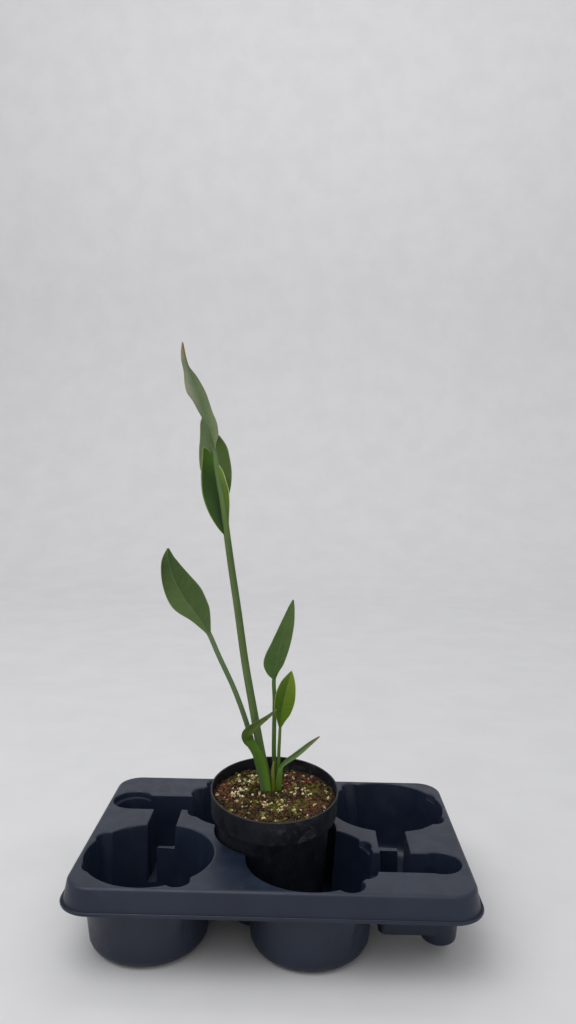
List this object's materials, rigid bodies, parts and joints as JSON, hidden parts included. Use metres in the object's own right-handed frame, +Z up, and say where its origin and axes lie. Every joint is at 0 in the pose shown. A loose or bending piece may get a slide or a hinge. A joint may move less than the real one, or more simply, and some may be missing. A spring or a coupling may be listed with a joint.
{
  "type": "potted bird of paradise plant",
  "caption": "Young bird of paradise plant in a black nursery pot that stands leaning in the middle pocket of a moulded carry tray.",
  "frame": {"origin": "the middle of the carry tray's footprint, at the level of the table it stands on", "axes": "+Z up, +Y to the back and +X to the right, with the tray's long front side facing -Y"},
  "size_m": [0.402, 0.276, 0.5996],
  "materials": {
    "tray_plastic": "satin",
    "pot_plastic": "satin",
    "potting_mix": "matte",
    "fleshy_root": "matte",
    "leaf_green": "satin",
    "leaf_dark_green": "satin",
    "leaf_bright_green": "satin",
    "sheath_dry": "matte"
  },
  "bodies": {
    "root": {"tray": "tray_plastic", "pot": "pot_plastic", "soil": "potting_mix", "root_crown": "fleshy_root", "leaf_tall": "leaf_green", "leaf_left": "leaf_dark_green", "leaf_middle": "leaf_dark_green", "leaf_bright": "leaf_bright_green", "leaf_curled": "leaf_dark_green", "leaf_spear": "leaf_green", "sheath_yellow": "sheath_dry"}
  },
  "joints": []
}
